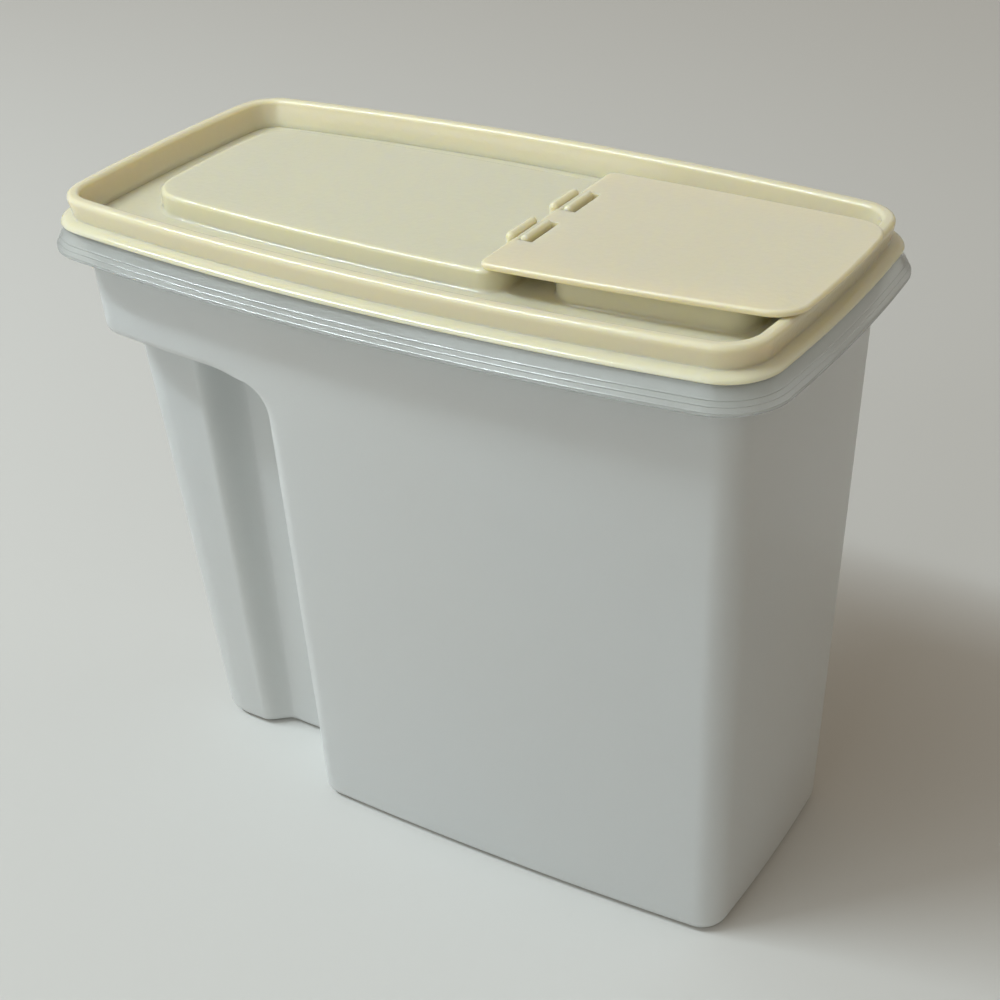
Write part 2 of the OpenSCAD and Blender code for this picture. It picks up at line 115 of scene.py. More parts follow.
COLLAR_EDGE = 0.4            # round top edge
COLLAR_FOOT = 1.0            # fillet to the lid's floor
COLLAR_GAP = 0.4             # from the collar up to the cap
CAP_T = 2.0
CAP_TILT = math.radians(1.0)
CAP_GAP = 0.3                # between the cap and the lip at the spout end
CAP_OVER = 2.0               # reach of the cap past the lip at the spout end
CAP_HINGE_R = 3.0            # corners beside the hinge
CAP_EDGE_R = 0.8             # round edges of the plate
PLUG_RING_DROP = 4.2         # reach of the plug ring under the plate
PLUG_RING_WALL = 1.3
PLUG_RING_GAP = 0.45         # between the ring and the collar
PLUG_RING_EDGE = (0.3, 0.4)  # chamfer at its foot, inwards and up
HINGE_Z = LIP_Z + CAP_GAP + CAP_T / 2 - (TOP["length"] / 2 - HINGE_X) * math.tan(CAP_TILT)
COLLAR_Z = HINGE_Z + (SPOUT_X[0] - HINGE_X) * math.tan(CAP_TILT) - CAP_T / 2 - COLLAR_GAP
BAR_R = CAP_T / 2
JAW_IN = BAR_R + 0.1         # radius of the bore that the bar turns in
JAW_CLOSE = 0.15             # how far the jaws' inner faces close over the bar
JAW_LEN = 13.4               # along the hinge
JAW_Y = 11.2                 # each pair, from the middle line
JAW_T = 2.6
JAW_ROOT = 0.8               # how deep the jaws stand in the platform
JAW_RISE = 2.05              # top of the jaws over the hinge axis
JAW_X = JAW_IN - JAW_CLOSE + JAW_T / 2
WINDOW_END = HINGE_X + JAW_X + JAW_T / 2 + 1.8
WINDOW_LEN = JAW_LEN + 0.8
PAST = 1.0                   # how far a cutter reaches past what it cuts, and a bar into its plate

# ---- outlines ---------------------------------------------------------------


def lerp(a, b, k):
    return a + (b - a) * k


def quarter(n):
    """n angles from 0 to 90 degrees, in radians."""
    return np.linspace(0, math.pi / 2, n)


def arc(centre, r, a0, a1, n, first=0):
    """Points on an arc, angles in degrees, n steps from a0 to a1."""
    angles = [math.radians(lerp(a0, a1, i / n)) for i in range(first, n + 1)]
    return [(centre[0] + r * math.cos(t), centre[1] + r * math.sin(t)) for t in angles]


class Bowed:
    """A rectangle with bowed sides and ends and round corners, all tangent."""

    def __init__(self, length, width, side_bow, end_bow, corner):
        a, b = length / 2, width / 2
        self.side_r = (a * a + side_bow * side_bow) / (2 * side_bow)
        self.end_r = (b * b + end_bow * end_bow) / (2 * end_bow)
        self.corner_r = corner
        self.side_c = (0.0, b - self.side_r)
        self.end_c = (a - self.end_r, 0.0)
        p, q = self.side_r - corner, self.end_r - corner
        base = math.hypot(self.end_c[0], self.side_c[1])
        along = (p * p - q * q + base * base) / (2 * base)
        across = math.sqrt(p * p - along * along)
        ux, uy = self.end_c[0] / base, -self.side_c[1] / base
        x, y = along * ux + across * uy, self.side_c[1] + along * uy - across * ux
        self.corner_c = (x, y)
        self.end_angle = math.degrees(math.atan2(y, x - self.end_c[0]))
        self.side_angle = math.degrees(math.atan2(y - self.side_c[1], x))

    def half_width(self, x, e):
        """Half the width at x, with the outline moved out by e."""
        return self.side_c[1] + math.sqrt((self.side_r + e) ** 2 - x * x)

    def end_x(self, y, e):
        """Where the end's arc stands at y, with the outline moved out by e."""
        return self.end_c[0] + math.sqrt((self.end_r + e) ** 2 - y * y)


def flip_x(points):
    """Mirrored in X, and run backwards so that the outline keeps its sense."""
    return [(-x, y) for x, y in reversed(points)]


def flip_y(points):
    """The same in Y."""
    return [(x, -y) for x, y in reversed(points)]


def whole_outline(o, e, end_n=8, corner_n=16, side_n=24):
    """The outline moved out by e, anticlockwise from the +X end."""
    fourth = arc(o.end_c, o.end_r + e, 0, o.end_angle, end_n)
    fourth += arc(o.corner_c, o.corner_r + e, o.end_angle, o.side_angle, corner_n, 1)
    fourth += arc(o.side_c, o.side_r + e, o.side_angle, 90, side_n, 1)
    half = fourth + flip_x(fourth)[1:]
    return half + flip_y(half)[1:-1]


def cut_outline(o, x1, r, d, end_n=8, corner_n=12, side_n=24):
    """The part of an outline on the grip side of x1, moved in by d, with new corners of radius r."""
    rc = r - d
    xc = x1 - r
    yc = o.half_width(xc, -d) - rc
    start = math.degrees(math.acos(xc / (o.side_r - d)))
    half = arc((xc, yc), rc, 0, 90, corner_n)
    half += arc(o.side_c, o.side_r - d, start, 180 - o.side_angle, side_n, 1)
    half += arc((-o.corner_c[0], o.corner_c[1]), o.corner_r - d,
                180 - o.side_angle, 180 - o.end_angle, corner_n, 1)
    half += arc((-o.end_c[0], 0), o.end_r - d, 180 - o.end_angle, 180, end_n, 1)
    return half + flip_y(half)[1:]


def stadium(x, y, w, length, d, n=20):
    """A slot shape along Y round (x, y), moved in by d."""
    r = w / 2 - d
    run = (length - w) / 2
    return arc((x, y + run), r, 0, 180, n) + arc((x, y - run), r, 180, 360, n)


# ---- meshes -----------------------------------------------------------------


def add_mesh(name, points, faces):
    """A mesh object from points in millimetres."""
    mesh = bpy.data.meshes.new(name)
    mesh.from_pydata([(x * MM, y * MM, z * MM) for x, y, z in points], [], faces)
    mesh.validate()
    obj = bpy.data.objects.new(name, mesh)
    bpy.context.scene.collection.objects.link(obj)
    return obj


def bridge(name, rings, capped=True):
    """A closed mesh through rings of points, with capped ends or the last ring joined to the first."""
    n = len(rings[0])
    levels = len(rings)
    steps = levels - 1 if capped else levels
    faces = []
    for j in range(steps):
        low, high = j * n, (j + 1) % levels * n
        for i in range(n):
            k = (i + 1) % n
            faces.append((low + i, low + k, high + k, high + i))
    if capped:
        faces.append(tuple(reversed(range(n))))
        faces.append(tuple((levels - 1) * n + i for i in range(n)))
    return add_mesh(name, [point for ring in rings for point in ring], faces)


def loft(name, rings, capped=True):
    """A bridge through level rings, given as (outline, height)."""
    return bridge(name, [[(x, y, z) for x, y in outline] for outline, z in rings], capped)


def fuse(target, others, operation="UNION"):
    """Adds the other meshes to the target, or cuts them out of it."""
    for other in others:
        step = target.modifiers.new("fuse", "BOOLEAN")
        step.operation = operation
        step.solver = "EXACT"
        step.object = other
        settle(target)
        bpy.data.objects.remove(other)
    return target


def settle(obj):
    """Applies the modifiers of obj to its mesh."""
    bpy.context.view_layer.update()
    graph = bpy.context.evaluated_depsgraph_get()
    mesh = bpy.data.meshes.new_from_object(obj.evaluated_get(graph))
    obj.modifiers.clear()
    old = obj.data
    obj.data = mesh
    bpy.data.meshes.remove(old)


def smooth(obj, sharp_degrees=38):
    """Smooth shading that large faces lead, with creases kept sharp."""
    obj.data.polygons.foreach_set("use_smooth", [True] * len(obj.data.polygons))
    obj.data.set_sharp_from_angle(angle=math.radians(sharp_degrees))
    weighted = obj.modifiers.new("weighted normals", "WEIGHTED_NORMAL")
    weighted.keep_sharp = True
    settle(obj)


# ---- the tub ----------------------------------------------------------------

# Steps in each stretch of an outline. A ring through the recesses and one over them have as many
# points past the grip end's arc, GRIP_N, so that they join one to one.
END_N, CORNER_N, SIDE_N, CREST_N, FILLET_N = 6, 12, 26, 14, 9
GRIP_N = CORNER_N + CREST_N + 2 * FILLET_N + 3
TIGHT_R = 0.5                # least radius of an edge that is drawn far in
RING_STEP = 0.05             # keeps two rings apart on a level stretch


def body_outline(z):
    """The tub's outer outline at height z."""
    k = min(z, BODY_H) / BODY_H
    return Bowed(**{name: lerp(BASE[name], TOP[name], k) for name in BASE})


def fillet_at(z, d, r):
    """How far a fillet that ends at the recess ceiling has come in at height z."""
    h = min(max(z - (RECESS_H - r), 0), r + d)
    return r + d - math.sqrt(max((r + d) ** 2 - h * h, 0))


def wall_x(z, d):
    """Where the recess wall stands."""
    return d - RECESS_X - fillet_at(z, d, RECESS_TOP_R)


def edge_r(d):
    """Radius of the recess edge, d inside the outer surface."""
    return max(RECESS_EDGE_R - d, TIGHT_R)


def side_start(z, d, o):
    """The angle on the side's arc where the recess edge meets it."""
    inside = max(d, 0)
    return math.degrees(math.acos(-(wall_x(z, inside) + edge_r(inside)) / (o.side_r - d)))


def spout_half(z, d, o):
    """The outline's -Y half, from beside the recess to the spout end."""
    points = arc(o.side_c, o.side_r - d, side_start(z, d, o), 180 - o.side_angle, SIDE_N)
    points += arc((-o.corner_c[0], o.corner_c[1]), o.corner_r - d,
                  180 - o.side_angle, 180 - o.end_angle, CORNER_N, 1)
    points += arc((-o.end_c[0], 0), o.end_r - d, 180 - o.end_angle, 180, END_N, 1)
    return [(-x, -y) for x, y in points]


def plain_half(z, d, drawn_in, o):
    """The -Y half of the grip end over the recesses, drawn in where they are under it."""
    m = GRIP_N - CORNER_N
    stop = side_start(z, d, o)
    points = []
    for i in range(END_N + GRIP_N):
        k = i - END_N            # steps past the end's arc
        s = k - CORNER_N         # steps past the corner, of m along the side
        fade = min(max(k / CORNER_N, 0), 1) * min(max((m - s) / (FILLET_N + 1), 0), 1)
        fade = fade * fade * (3 - 2 * fade)
        e = -d - drawn_in * fade
        if k <= 0:
            centre, r, t = o.end_c, o.end_r, o.end_angle * i / END_N
        elif s <= 0:
            centre, r, t = o.corner_c, o.corner_r, lerp(o.end_angle, o.side_angle, k / CORNER_N)
        else:
            centre, r, t = o.side_c, o.side_r, lerp(o.side_angle, stop, s / m)
        t = math.radians(t)
        points.append((-centre[0] - (r + e) * math.cos(t), -centre[1] - (r + e) * math.sin(t)))
    return points


def recess_half(z, d, o):
    """The -Y half of the grip end: half of the post's bulge, its neck and the recess wall."""
    k = min(z, RECESS_H) / RECESS_H
    flare = fillet_at(z, d, CEILING_R)
    bulge = lerp(*BULGE_W, k) - d + flare
    neck = lerp(*NECK_W, k) - d + flare
    # the steepest slope from bulge to neck, and the shift that keeps the wall's thickness there
    slope = math.atan2(math.pi / 2 * (bulge - neck), CREST_X - NECK_X)
    shift = flare - d * (1 - math.cos(slope)) / math.sin(slope)
    r = BULGE_R - d
    flat = bulge - r             # half of the post's end between its corners
    wall = wall_x(z, d)
    root_r = NECK_FILLET_R + d
    lip_r = edge_r(d)
    points = [(-o.end_x(flat * i / END_N, -d), -flat * i / END_N) for i in range(END_N)]
    points += arc((r - o.end_x(flat, -d), -flat), r, 180, 270, CORNER_N)
    for i in range(CREST_N + 1):
        s = i / CREST_N
        points.append((lerp(-CREST_X, -NECK_X, s) + shift,
                       -neck - (bulge - neck) * (1 + math.cos(math.pi * s)) / 2))
    points += arc((wall - root_r, -neck - root_r), root_r, 90, 0, FILLET_N)
    points += arc((wall + lip_r, lip_r - o.half_width(wall + lip_r, -d)), lip_r, 180, 270, FILLET_N)[:-1]
    return points


def tub_ring(z, d, over=False, drawn_in=0.0):
    """The tub's section at height z, through the recesses or over them, d inside the surface."""
    o = body_outline(z)
    grip = plain_half(z, d, drawn_in, o) if over else recess_half(z, d, o)
    front = grip + spout_half(z, d, o)
    return front + flip_y(front)[1:-1], z


def tub_skin(d):
    """Rings from the foot up past the recess ceilings, d inside the outer surface."""
    foot = FOOT_R - d
    rings = [tub_ring(FOOT_R - foot * math.cos(t), FOOT_R - foot * math.sin(t))
             for t in quarter(7)]
    rings += [tub_ring(z, d) for z in np.linspace(FOOT_R, RECESS_H - RECESS_TOP_R, 14)[1:]]
    ceiling_bend = quarter(19)[1:]
    for t in ceiling_bend:
        drop = RING_STEP if t == ceiling_bend[-1] else 0
        rings.append(tub_ring(RECESS_H - RECESS_TOP_R + (RECESS_TOP_R + d) * math.sin(t) - drop, d))
    round_r = BAND_R - d
    for t in quarter(8):
        rise = RING_STEP if t == 0 else 0
        rings.append(tub_ring(RECESS_H + BAND_R - round_r * math.cos(t) + rise, d, True,
                              round_r * (1 - math.sin(t))))
    return rings


def skirt_at(h):
    """Reach of the flange's sloping face at height h over its foot."""
    slope = (FLANGE_OUT - FLANGE_TOP_OUT) / (FLANGE_H - RIDGE_PITCH)
    return FLANGE_OUT - slope * max(h - RIDGE_PITCH, 0)


def eased(x, z, r, side=1):
    """A wall's top corner at (x, z) as three points: its outer corner, or with side -1 its inner one."""
    points = [(x, z - r), (x - side * 0.3 * r, z - 0.3 * r), (x - side * r, z)]
    return points[::side]


def flange_profile():
    """The flange and rim as (offset outwards, height), from outer to inner wall.

    Where the wall leans out to the rim, root is its outer face and inside its inner one."""
    skirt_in = skirt_at(FLANGE_H) - WALL
    foot_in = FLANGE_OUT - WALL
    under = LEDGE_Z - WALL
    chamfer = 0.3
    root = [(0, BODY_H - 0.6), (0.05, BODY_H + 0.2), (0.5, BODY_H + 1.0), (RIM_OUT, BODY_H + 3.0)]
    hollow = [(RIM_OUT, under - HOLLOW_R), (RIM_OUT + HOLLOW_R, under),
              (skirt_in - HOLLOW_R, under), (skirt_in, under - HOLLOW_R)]
    foot = [(foot_in, BODY_H + chamfer), (foot_in + chamfer, BODY_H)]
    foot += [(FLANGE_OUT - FLANGE_EDGE * (1 - math.sin(t)), BODY_H + FLANGE_EDGE * (1 - math.cos(t)))
             for t in quarter(5)]
    ridges = []
    for i in range(1, RIDGES + 1):
        h = i * RIDGE_PITCH
        ridges += [(skirt_at(h) - RIDGE * back, BODY_H + h + rise) for back, rise in RIDGE_SHAPE]
    last = (RIDGES + 1) * RIDGE_PITCH
    top = [(skirt_at(last) - RIDGE, BODY_H + last)] + eased(FLANGE_TOP_OUT, LEDGE_Z, FLANGE_TOP_R)
    rim = [(RIM_OUT, LEDGE_Z)] + eased(RIM_OUT, RIM_Z, RIM_EDGE) + eased(RIM_GAP, RIM_Z, RIM_EDGE, -1)
    inside = [(RIM_GAP, BODY_H + 3.4), (-0.9, BODY_H + 1.7), (-WALL, BODY_H + 0.2)]
    return root + hollow + foot + ridges + top + rim + inside


def make_tub():
    """One wall, up the outside, over the rim and down the inside to the base."""
    inset = FOOT_R + FOOT_BAND
    rings = [tub_ring(BASE_RISE, inset + BASE_RISE), tub_ring(0, inset)]
    rings += tub_skin(0)
    rings += [tub_ring(z, 0, True) for z in BAND_Z]
    rings += [tub_ring(z, -e, True) for e, z in flange_profile()]
    rings += [tub_ring(z, WALL, True) for z in reversed(BAND_Z)]
    rings += list(reversed(tub_skin(WALL)))
    rings += [tub_ring(WALL, inset), tub_ring(WALL + BASE_RISE, inset + BASE_RISE)]
    tub = loft("tub", rings)
    smooth(tub)
    return tub


# ---- the lid ----------------------------------------------------------------

LID = body_outline(BODY_H)
PLATFORM = Bowed(length=183.2, width=68.0, side_bow=4.6, end_bow=1.6, corner=12.9)


def spline(knots, steps):
    """A smooth curve through knots, by Catmull-Rom."""
    knots = [np.array(k, float) for k in knots]
    ends = [2 * knots[0] - knots[1]] + knots + [2 * knots[-1] - knots[-2]]
    out = []
    for a, b, c, d in zip(ends, ends[1:], ends[2:], ends[3:]):
        for t in np.linspace(0, 1, steps, endpoint=False):
            out.append(0.5 * (2 * b + (c - a) * t + (2 * a - 5 * b + 4 * c - d) * t * t
                              + (3 * b - a - 3 * c + d) * t ** 3))
    return [tuple(p) for p in out] + [tuple(knots[-1])]


def lid_profile():
    """Closed section of the lid's rim as (offset outwards, height)."""
    channel = RIM_OUT + RIM_GAP
    channel_z = RIM_Z + SEAT_GAP
    skirt_z = LEDGE_Z + SEAT_GAP
    inner = [(-PLUG_WALL, PLUG_Z + PLUG_EDGE), (-PLUG_WALL, channel_z + LIP_FOOT),
             (-SEAT_GAP, LIP_Z - LIP_DIP)]
    lip = [(LIP_R * (1 - math.cos(t)), LIP_Z - LIP_R * (1 - math.sin(t))) for t in quarter(8)]
    lip += [(LIP_W - LIP_R * (1 - math.sin(t)), LIP_Z - LIP_R * (1 - math.cos(t)))
            for t in quarter(8)]
    groove = spline([(LIP_W - 0.05, LIP_Z - LIP_R - LIP_FOOT),
                     (LIP_W - GROOVE * 0.5, (LIP_Z - LIP_R + GROOVE_Z) / 2),
                     (LIP_W - GROOVE * 0.96, GROOVE_Z + 0.7)], 4)
    groove += [(LIP_W - GROOVE, GROOVE_Z + 0.35), (LIP_W - GROOVE * 0.88, GROOVE_Z + 0.1)]
    bead = spline([(LIP_W - GROOVE * 0.6, GROOVE_Z)]
                  + [(LIP_W + BEAD_OUT * share, GROOVE_Z + rise) for share, rise in BEAD_SHAPE], 5)
    bead += [(LIP_W + BEAD_OUT * 0.97, skirt_z + 0.2), (LIP_W + BEAD_OUT * 0.9, skirt_z + 0.06),
             (LIP_W + BEAD_OUT * 0.8, skirt_z)]
    under = [(channel, skirt_z), (channel, channel_z - CHANNEL_EDGE),
             (channel - CHANNEL_EDGE, channel_z), (CHANNEL_EDGE, channel_z),
             (0, channel_z - CHANNEL_EDGE), (0, PLUG_Z + PLUG_EDGE), (-PLUG_EDGE, PLUG_Z),
             (PLUG_EDGE - PLUG_WALL, PLUG_Z)]
    return inner + lip + groove + bead + under


def raised(name, shape, foot, foot_n, edge, edge_n, top):
    """A form that stands on the lid's floor, with a fillet at its foot and a round top edge.

    shape(d) is its outline moved in by d, and foot_n and edge_n are the rings in its two bends."""
    sunk = 0.01                  # keeps the fillet's foot out of the floor's plane
    rings = [(shape(-foot), FLOOR_Z - LID_WALL / 2)]
    rings += [(shape(-foot * (1 - math.sin(t))), FLOOR_Z - sunk + foot * (1 - math.cos(t)))
              for t in quarter(foot_n)]
    rings += [(shape(edge * (1 - math.cos(t))), top - edge * (1 - math.sin(t)))
              for t in quarter(edge_n)]
    return loft(name, rings)


def make_lid():
    """Floor, platform and collar, cut open for the spout, with the rim and the jaws added."""
    rim = loft("lid", [(whole_outline(LID, e), z) for e, z in reversed(lid_profile())], capped=False)
    floor = loft("floor", [(whole_outline(LID, -PLUG_WALL / 2), z)
                           for z in (FLOOR_Z - LID_WALL, FLOOR_Z)])
    below = FLOOR_Z - LID_WALL - PAST
    hollow = loft("hollow", [(platform_shape(LID_WALL), z) for z in (below, PLATFORM_Z - LID_WALL)])
    bore = loft("bore", [(spout_shape(COLLAR_WALL), z) for z in (below, LIP_Z + PAST)])
    platform = raised("platform", platform_shape, PLATFORM_FOOT, 7, PLATFORM_EDGE, 9, PLATFORM_Z)
    collar = raised("collar", spout_shape, COLLAR_FOOT, 6, COLLAR_EDGE, 5, COLLAR_Z)
    lid = fuse(floor, [platform, collar])
    fuse(lid, [hollow, bore], "DIFFERENCE")
    fuse(lid, [rim] + jaws())
    lid.name = "lid_shell"
    smooth(lid)
    return lid


def platform_shape(d):
    """Outline of the raised platform, moved in by d."""
    return cut_outline(PLATFORM, PLATFORM_X, PLATFORM_R, d)


def spout_shape(d):
    """Outline of the spout collar, moved in by d; its sides run parallel to the lid's."""
    r = SPOUT_R - d
    reach = LID.side_r - SPOUT_SIDE - d
    cy = LID.side_c[1]
    out_angle = math.acos((SPOUT_X[1] - SPOUT_R) / (reach - r))
    in_angle = math.acos((SPOUT_X[0] + SPOUT_R) / (reach - r))

    def corner(angle):
        return (reach - r) * math.cos(angle), cy + (reach - r) * math.sin(angle)

    out_deg, in_deg = math.degrees(out_angle), math.degrees(in_angle)
    half = arc(corner(out_angle), r, 0, out_deg, 12)
    half += arc((0, cy), reach, out_deg, in_deg, 14, 1)
    half += arc(corner(in_angle), r, in_deg, 180, 12, 1)
    return half + flip_y(half)


def jaws():
    """Two pairs of round-ended lugs that hold the cap's bar."""
    r = JAW_T / 2
    top = HINGE_Z + JAW_RISE
    top_bend = np.linspace(0.2, 1.35, 7)    # radians: not quite to the tip, where the outline closes
    lugs = []
    for y in (-JAW_Y, JAW_Y):
        for side in (-1, 1):
            x = HINGE_X + side * JAW_X
            rings = [(stadium(x, y, JAW_T, JAW_LEN, 0), z) for z in (PLATFORM_Z - JAW_ROOT, top - r)]
            rings += [(stadium(x, y, JAW_T, JAW_LEN, r * (1 - math.cos(t))),
                       top - r * (1 - math.sin(t))) for t in top_bend]
            lug = loft("lug", rings)
            lugs.append(fuse(lug, [rod("seat", y, JAW_IN, JAW_LEN / 2 + PAST)], "DIFFERENCE"))
    return lugs


# ---- the flip cap -------------------------------------------------------------

CAP = Bowed(length=TOP["length"] + 2 * (LIP_W + CAP_OVER), width=71.2, side_bow=5.6,
            end_bow=1.8, corner=10.0)


def make_cap():
    """The cap, drawn level on its hinge axis and then tilted to rest on the lip."""
    r = CAP_EDGE_R
    start = HINGE_X - BAR_R

    def shape(d):
        return flip_x(cut_outline(CAP, -start, CAP_HINGE_R, d))

    rings = [(shape(r * (1 - math.sin(t))), HINGE_Z - CAP_T / 2 + r * (1 - math.cos(t)))
             for t in quarter(6)]
    rings += [(shape(r * (1 - math.cos(t))), HINGE_Z + CAP_T / 2 - r * (1 - math.sin(t)))
              for t in quarter(6)]
    cap = loft("cap_plate", rings)
    cuts, bars = [], []
    for y in (-JAW_Y, JAW_Y):
        x0, x1 = start - PAST, WINDOW_END
        y0, y1 = y - WINDOW_LEN / 2, y + WINDOW_LEN / 2
        window = [(x1, y0), (x1, y1), (x0, y1), (x0, y0)]
        cuts.append(loft("window", [(window, HINGE_Z - CAP_T), (window, HINGE_Z + CAP_T)]))
        bars.append(rod("bar", y, BAR_R, WINDOW_LEN / 2 + PAST))
    fuse(cap, cuts, "DIFFERENCE")
    fuse(cap, bars + [plug_ring()])
    axis = Vector((HINGE_X * MM, 0, HINGE_Z * MM))
    tilt = Matrix.Rotation(-CAP_TILT, 4, "Y")
    cap.data.transform(Matrix.Translation(axis) @ tilt @ Matrix.Translation(-axis))
    smooth(cap)
    return cap


def rod(name, y, r, half):
    """A round bar along the hinge axis, half to each side of y."""
    round_it = np.linspace(0, 2 * math.pi, 32, endpoint=False)
    return bridge(name, [[(HINGE_X + r * math.cos(t), end, HINGE_Z + r * math.sin(t))
                          for t in round_it] for end in (y + half, y - half)])


def plug_ring():
    """The ring under the cap that closes the spout from inside."""
    outer = COLLAR_WALL + PLUG_RING_GAP
    inner = outer + PLUG_RING_WALL
    plate = HINGE_Z - CAP_T / 2
    bottom = plate - PLUG_RING_DROP
    edge_in, edge_up = PLUG_RING_EDGE
    ring = loft("plug_ring", [(spout_shape(outer + edge_in), bottom),
                              (spout_shape(outer), bottom + edge_up), (spout_shape(outer), HINGE_Z)])
    into_plate = 0.1
    bore = loft("ring_bore", [(spout_shape(inner), z) for z in (bottom - PAST, plate + into_plate)])
    return fuse(ring, [bore], "DIFFERENCE")


# ---- materials ----------------------------------------------------------------


def linear(code):
    """An sRGB hex colour as linear RGBA."""
    parts = [int(code[i:i + 2], 16) / 255 for i in (1, 3, 5)]
    return tuple(c / 12.92 if c <= 0.04045 else ((c + 0.055) / 1.055) ** 2.4 for c in parts) + (1.0,)


def add_node(tree, kind, links=None, **settings):
    """Adds a node. Settings are its properties, or sockets with _ for a space in their names;
    links give the output that feeds each socket, by the socket's name or number."""
    node = tree.nodes.new(kind)
    for name, value in settings.items():
        if hasattr(node, name):
            setattr(node, name, value)
        else:
            node.inputs[name.replace("_", " ")].default_value = value
    for name, source in (links or {}).items():
        tree.links.new(source, node.inputs[name])
    return node


def new_material(name):
    material = bpy.data.materials.new(name)
    material.use_nodes = True
    material.node_tree.nodes.clear()
    return material, material.node_tree


def per_metre(size):
    """Scale of a noise whose features are about size millimetres wide."""
    return 1 / (size * MM)


# Widths in millimetres. A satin mould's grain is some hundredths of a millimetre wide and too fine
# to show, so it is drawn as wide as it needs to be to take the edge off the gloss.
CLOUD = 111.0                # faint clouds from the flow of the melt, half a tub wide
SATIN = 1.11
PEEL = 1.67                  # orange peel of a polished mould


def milky_polypropylene(name, warm, cool, roughness, clear):
    """Natural polypropylene, injection moulded: milky and satin. Light spreads evenly in it, and
    the clearer it is, the more shows through."""
    material, tree = new_material(name)
    place = add_node(tree, "ShaderNodeTexCoord").outputs["Object"]
    cloud = add_node(tree, "ShaderNodeTexNoise", {"Vector": place},
                     Scale=per_metre(CLOUD), Detail=2.0, Roughness=0.45)
    tint = add_node(tree, "ShaderNodeMix", {"Factor": cloud.outputs["Fac"]},
                    data_type="RGBA", A=linear(warm), B=linear(cool))
    satin = add_node(tree, "ShaderNodeTexNoise", {"Vector": place}, Scale=per_metre(SATIN), Detail=2.0)
    bump = add_node(tree, "ShaderNodeBump", {"Height": satin.outputs["Fac"]},
                    Strength=0.12, Distance=0.2 * MM)
    shader = add_node(tree, "ShaderNodeBsdfPrincipled",
                      {"Base Color": tint.outputs["Result"], "Normal": bump.outputs["Normal"]},
                      Roughness=roughness, IOR=1.49, Transmission_Weight=clear,
                      Subsurface_Weight=1.0, Subsurface_Scale=1.0,
                      Subsurface_Radius=[spread * MM for spread in (6.0, 6.0, 6.0)])
    add_node(tree, "ShaderNodeOutputMaterial", {"Surface": shader.outputs["BSDF"]})
    return material


def almond_polyethylene(name, light, dark, roughness):
    """Almond polyethylene, injection moulded: waxy gloss with a faint orange peel. Red light
    spreads farther in it than blue, which warms its shadows."""
    material, tree = new_material(name)
    place = add_node(tree, "ShaderNodeTexCoord").outputs["Object"]
    cloud = add_node(tree, "ShaderNodeTexNoise", {"Vector": place},
                     Scale=per_metre(CLOUD), Detail=3.0, Roughness=0.5)
    tint = add_node(tree, "ShaderNodeMix", {"Factor": cloud.outputs["Fac"]},
                    data_type="RGBA", A=linear(light), B=linear(dark))
    peel = add_node(tree, "ShaderNodeTexNoise", {"Vector": place}, Scale=per_metre(PEEL), Detail=2.0)
    bump = add_node(tree, "ShaderNodeBump", {"Height": peel.outputs["Fac"]},
                    Strength=0.15, Distance=0.4 * MM)
    shader = add_node(tree, "ShaderNodeBsdfPrincipled",
                      {"Base Color": tint.outputs["Result"], "Normal": bump.outputs["Normal"]},
                      Roughness=roughness, IOR=1.51, Subsurface_Weight=1.0, Subsurface_Scale=1.0,
                      Subsurface_Radius=[spread * MM for spread in (4.6, 4.0, 2.2)])
    add_node(tree, "ShaderNodeOutputMaterial", {"Surface": shader.outputs["BSDF"]})
    return material


def pale_floor():
    """Matt pale studio floor, which fades into the backdrop's colour far from the object."""
    material, tree = new_material("studio_floor")
    paint = add_node(tree, "ShaderNodeBsdfPrincipled", Roughness=0.9, Base_Color=linear(FLOOR))
    place = add_node(tree, "ShaderNodeTexCoord")
    away = add_node(tree, "ShaderNodeVectorMath", {"Vector": place.outputs["Object"]},
                    operation="LENGTH")
    fade = add_node(tree, "ShaderNodeMapRange", {"Value": away.outputs["Value"]},
                    interpolation_type="SMOOTHSTEP", From_Min=FADE_FROM, From_Max=FADE_TO)
    ray = add_node(tree, "ShaderNodeLightPath")
    seen = add_node(tree, "ShaderNodeMath",
                    {0: fade.outputs["Result"], 1: ray.outputs["Is Camera Ray"]},
                    operation="MULTIPLY")
    backdrop = add_node(tree, "ShaderNodeEmission", Color=linear(BACKDROP))
    both = add_node(tree, "ShaderNodeMixShader",
                    {"Fac": seen.outputs["Value"], 1: paint.outputs["BSDF"],
                     2: backdrop.outputs["Emission"]})
    add_node(tree, "ShaderNodeOutputMaterial", {"Surface": both.outputs["Shader"]})
    return material


# ---- camera, lights and floor ---------------------------------------------------

# The photograph's view, fitted to the container's outlines: degrees and millimetres
VIEW_AZIMUTH = 33.37
VIEW_ELEVATION = 31.38
VIEW_ROLL = -2.78
VIEW_OFFSET = Vector((-1.66, -86.3, -595.04))    # the tub's origin in the camera's own axes
LENS = 64.2
SENSOR = 36.0

BACKDROP = "#BDBCB8"
FLOOR = "#CBCAC7"
FLOOR_REACH = 6000.0             # from the object to each side
FADE_FROM = 0.7                  # metres from the object where the floor starts to fade
FADE_TO = 2.4                    # and where only the backdrop's colour is left
DAYLIGHT = "#E6F1F5"
SKYLIGHT = "#E3F0F6"
ROOM_LIGHT = "#FFE9CB"


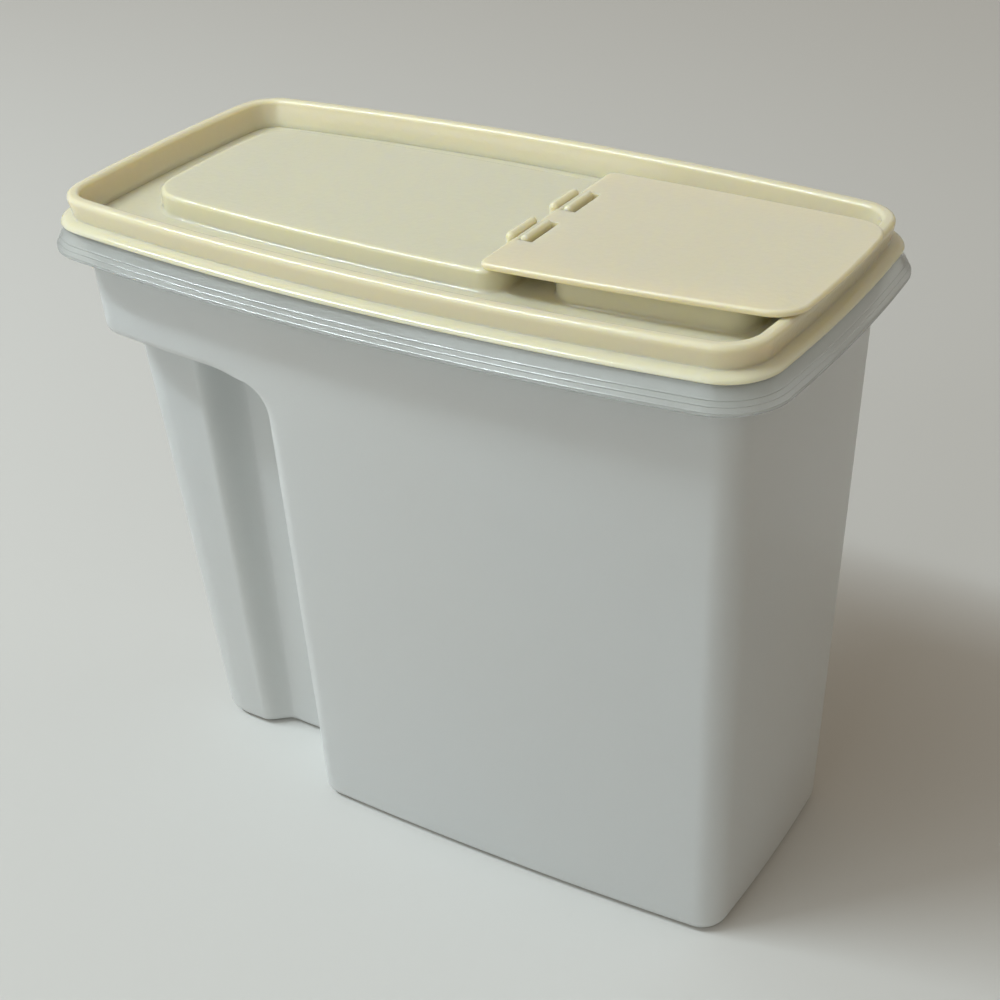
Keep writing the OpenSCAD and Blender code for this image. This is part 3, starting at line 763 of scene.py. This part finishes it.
def make_camera():
    """A camera with the photograph's view: back points from the object to it."""
    a, e, r = (math.radians(v) for v in (VIEW_AZIMUTH, VIEW_ELEVATION, VIEW_ROLL))
    back = Vector((math.sin(a) * math.cos(e), -math.cos(a) * math.cos(e), math.sin(e)))
    level = Vector((math.cos(a), math.sin(a), 0))
    upright = back.cross(level)
    right = level * math.cos(r) + upright * math.sin(r)
    up = upright * math.cos(r) - level * math.sin(r)
    turn = Matrix((right, up, back)).transposed()
    camera = bpy.data.objects.new("camera", bpy.data.cameras.new("camera"))
    camera.data.lens = LENS
    camera.data.sensor_width = SENSOR
    camera.data.clip_start = 0.01
    camera.data.clip_end = 20
    place = turn @ -VIEW_OFFSET
    camera.matrix_world = Matrix.Translation(place * MM) @ turn.to_4x4()
    bpy.context.scene.collection.objects.link(camera)
    bpy.context.scene.camera = camera


def add_lamp(name, place, aim, width, height, watts, colour=DAYLIGHT):
    """A soft lamp at place that faces aim. Places and sides are in metres."""
    light = bpy.data.lights.new(name, "AREA")
    light.shape = "RECTANGLE"
    light.size = width
    light.size_y = height
    light.energy = watts
    light.color = linear(colour)[:3]
    lamp = bpy.data.objects.new(name, light)
    turn = (Vector(aim) - Vector(place)).to_track_quat("-Z", "Y").to_matrix().to_4x4()
    lamp.matrix_world = Matrix.Translation(Vector(place)) @ turn
    bpy.context.scene.collection.objects.link(lamp)


def make_world(colour, strength):
    """Soft light of one colour. Straight, mirrored and refracted views show the backdrop."""
    world = bpy.data.worlds.new("studio")
    bpy.context.scene.world = world
    world.use_nodes = True
    tree = world.node_tree
    tree.nodes.clear()
    light = add_node(tree, "ShaderNodeBackground", Color=linear(colour), Strength=strength)
    backdrop = add_node(tree, "ShaderNodeBackground", Color=linear(BACKDROP))
    ray = add_node(tree, "ShaderNodeLightPath")
    seen = ray.outputs["Is Camera Ray"]
    for kind in ("Is Glossy Ray", "Is Transmission Ray"):
        either = add_node(tree, "ShaderNodeMath", {0: seen, 1: ray.outputs[kind]},
                          operation="MAXIMUM")
        seen = either.outputs["Value"]
    both = add_node(tree, "ShaderNodeMixShader",
                    {"Fac": seen, 1: light.outputs["Background"], 2: backdrop.outputs["Background"]})
    add_node(tree, "ShaderNodeOutputWorld", {"Surface": both.outputs["Shader"]})


def make_floor():
    corners = [(-FLOOR_REACH, -FLOOR_REACH, 0), (FLOOR_REACH, -FLOOR_REACH, 0),
               (FLOOR_REACH, FLOOR_REACH, 0), (-FLOOR_REACH, FLOOR_REACH, 0)]
    sheet = add_mesh("floor_sheet", corners, [(0, 1, 2, 3)])
    sheet.data.materials.append(pale_floor())


# ---- put together ---------------------------------------------------------------


def dress(piece, material, body, node):
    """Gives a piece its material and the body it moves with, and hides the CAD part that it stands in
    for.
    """
    piece.data.materials.clear()
    piece.data.materials.append(material)
    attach(piece, body)
    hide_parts(node)


make_camera()
bpy.context.scene.view_settings.view_transform = "Standard"
make_world(ROOM_LIGHT, strength=0.29)
make_floor()

# The key is a long narrow window band: its long side gives the edges their thin highlights.
add_lamp("key", (-0.95, -0.58, 1.42), (-0.76, 0.12, 0.15), 1.1, 0.07, 22, SKYLIGHT)
add_lamp("window", (-0.70, -0.62, 1.65), (0, 0, 0.15), 1.2, 1.2, 7)
add_lamp("front", (-0.3, -1.5, 0.8), (0, 0, 0.12), 1.1, 1.1, 8)
add_lamp("back", (1.3, 1.0, 1.1), (0, 0, 0.12), 1.1, 1.1, 3.5)

tub = make_tub()
dress(tub, milky_polypropylene("polypropylene_milky", "#E8EAE5", "#E1E9EC", 0.32, 0.2),
      "container", "container")

# The flange and the rim come out of a smoother part of the mould, so they are glossier and clearer.
# Their base colour is also a little darker than the tub's, which is painted shade: it stands in for the
# shade that the lid's bead casts on the flange.
tub.data.materials.append(milky_polypropylene("polypropylene_rim_painted_shade", "#E0E2DE", "#DBE0DE", 0.14, 0.6))
# Faces over the flange's foot take the rim material, whose darker base colour is painted shade.
flange_from = (BODY_H + 0.1) * MM
for face in tub.data.polygons:
    face.material_index = int(face.center.z > flange_from)

dress(make_lid(), almond_polyethylene("polyethylene_almond", "#DED8BF", "#D8D1B5", 0.15),
      "lid", "lid")
dress(make_cap(), almond_polyethylene("polyethylene_almond_cap", "#E1D7BE", "#DBD1B6", 0.18),
      "flip_cap", "flip_cap")
